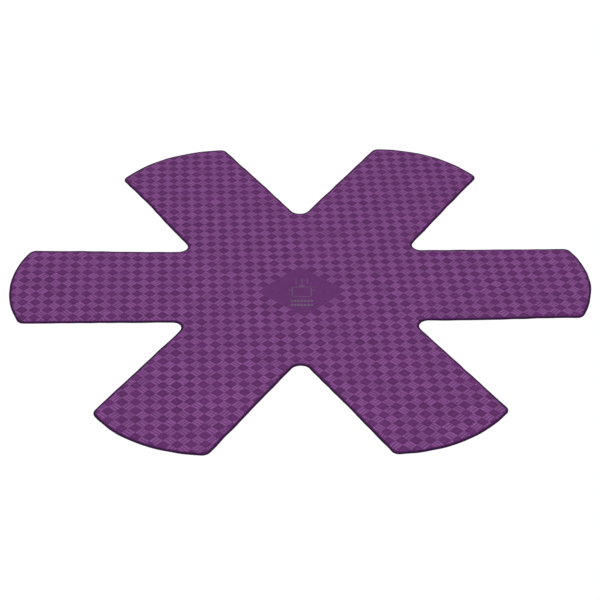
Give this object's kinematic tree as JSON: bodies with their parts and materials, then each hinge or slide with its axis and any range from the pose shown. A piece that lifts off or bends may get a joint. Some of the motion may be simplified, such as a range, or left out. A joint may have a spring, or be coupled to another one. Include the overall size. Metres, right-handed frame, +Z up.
{
  "type": "pan protector pad",
  "caption": "Flat star-shaped felt pad with rounded arms, laid between stacked pans so that they don't scratch; the arms bend up around a pan's wall.",
  "frame": {"origin": "centre of the pad on its underside, where it lies on a pan or a shelf", "axes": "+Z up through the pad's thickness; +X along the first arm, towards its tip; +Y to the left of it in the pad's plane"},
  "size_m": [0.38, 0.3518, 0.002],
  "materials": {
    "printed_face": "needle-punched purple felt, printed with a hatched diamond check",
    "felt_core": "needle-punched purple wadding",
    "plain_face": "needle-punched purple felt, unprinted"
  },
  "bodies": {
    "hub": {"top_face_hub": "printed_face", "felt_core_hub": "felt_core", "bottom_face_hub": "plain_face"},
    "arm1_root": {"top_face_arm1_root": "printed_face", "felt_core_arm1_root": "felt_core", "bottom_face_arm1_root": "plain_face"},
    "arm1_tip": {"top_face_arm1_tip": "printed_face", "felt_core_arm1_tip": "felt_core", "bottom_face_arm1_tip": "plain_face"},
    "arm2_root": {"top_face_arm2_root": "printed_face", "felt_core_arm2_root": "felt_core", "bottom_face_arm2_root": "plain_face"},
    "arm2_tip": {"top_face_arm2_tip": "printed_face", "felt_core_arm2_tip": "felt_core", "bottom_face_arm2_tip": "plain_face"},
    "arm3_root": {"top_face_arm3_root": "printed_face", "felt_core_arm3_root": "felt_core", "bottom_face_arm3_root": "plain_face"},
    "arm3_tip": {"top_face_arm3_tip": "printed_face", "felt_core_arm3_tip": "felt_core", "bottom_face_arm3_tip": "plain_face"},
    "arm4_root": {"top_face_arm4_root": "printed_face", "felt_core_arm4_root": "felt_core", "bottom_face_arm4_root": "plain_face"},
    "arm4_tip": {"top_face_arm4_tip": "printed_face", "felt_core_arm4_tip": "felt_core", "bottom_face_arm4_tip": "plain_face"},
    "arm5_root": {"top_face_arm5_root": "printed_face", "felt_core_arm5_root": "felt_core", "bottom_face_arm5_root": "plain_face"},
    "arm5_tip": {"top_face_arm5_tip": "printed_face", "felt_core_arm5_tip": "felt_core", "bottom_face_arm5_tip": "plain_face"},
    "arm6_root": {"top_face_arm6_root": "printed_face", "felt_core_arm6_root": "felt_core", "bottom_face_arm6_root": "plain_face"},
    "arm6_tip": {"top_face_arm6_tip": "printed_face", "felt_core_arm6_tip": "felt_core", "bottom_face_arm6_tip": "plain_face"}
  },
  "joints": [
    {"name": "arm1_root_fold", "type": "hinge", "parent": "hub", "child": "arm1_root", "pos_m": [0.094, 0, 0.001], "axis": [0, -1, 0], "range_deg": [-75, 75], "stiffness_Nm_per_rad": 0.0036},
    {"name": "arm1_mid_fold", "type": "hinge", "parent": "arm1_root", "child": "arm1_tip", "pos_m": [0.138, 0, 0.001], "axis": [0, -1, 0], "range_deg": [-30, 30], "stiffness_Nm_per_rad": 0.0036},
    {"name": "arm2_root_fold", "type": "hinge", "parent": "hub", "child": "arm2_root", "pos_m": [0.047, 0.08141, 0.001], "axis": [0.866, -0.5, 0], "range_deg": [-75, 75], "stiffness_Nm_per_rad": 0.0036},
    {"name": "arm2_mid_fold", "type": "hinge", "parent": "arm2_root", "child": "arm2_tip", "pos_m": [0.069, 0.11951, 0.001], "axis": [0.866, -0.5, 0], "range_deg": [-30, 30], "stiffness_Nm_per_rad": 0.0036},
    {"name": "arm3_root_fold", "type": "hinge", "parent": "hub", "child": "arm3_root", "pos_m": [-0.047, 0.08141, 0.001], "axis": [0.866, 0.5, 0], "range_deg": [-75, 75], "stiffness_Nm_per_rad": 0.0036},
    {"name": "arm3_mid_fold", "type": "hinge", "parent": "arm3_root", "child": "arm3_tip", "pos_m": [-0.069, 0.11951, 0.001], "axis": [0.866, 0.5, 0], "range_deg": [-30, 30], "stiffness_Nm_per_rad": 0.0036},
    {"name": "arm4_root_fold", "type": "hinge", "parent": "hub", "child": "arm4_root", "pos_m": [-0.094, 0, 0.001], "axis": [0, 1, 0], "range_deg": [-75, 75], "stiffness_Nm_per_rad": 0.0036},
    {"name": "arm4_mid_fold", "type": "hinge", "parent": "arm4_root", "child": "arm4_tip", "pos_m": [-0.138, 0, 0.001], "axis": [0, 1, 0], "range_deg": [-30, 30], "stiffness_Nm_per_rad": 0.0036},
    {"name": "arm5_root_fold", "type": "hinge", "parent": "hub", "child": "arm5_root", "pos_m": [-0.047, -0.08141, 0.001], "axis": [-0.866, 0.5, 0], "range_deg": [-75, 75], "stiffness_Nm_per_rad": 0.0036},
    {"name": "arm5_mid_fold", "type": "hinge", "parent": "arm5_root", "child": "arm5_tip", "pos_m": [-0.069, -0.11951, 0.001], "axis": [-0.866, 0.5, 0], "range_deg": [-30, 30], "stiffness_Nm_per_rad": 0.0036},
    {"name": "arm6_root_fold", "type": "hinge", "parent": "hub", "child": "arm6_root", "pos_m": [0.047, -0.08141, 0.001], "axis": [-0.866, -0.5, 0], "range_deg": [-75, 75], "stiffness_Nm_per_rad": 0.0036},
    {"name": "arm6_mid_fold", "type": "hinge", "parent": "arm6_root", "child": "arm6_tip", "pos_m": [0.069, -0.11951, 0.001], "axis": [-0.866, -0.5, 0], "range_deg": [-30, 30], "stiffness_Nm_per_rad": 0.0036}
  ]
}
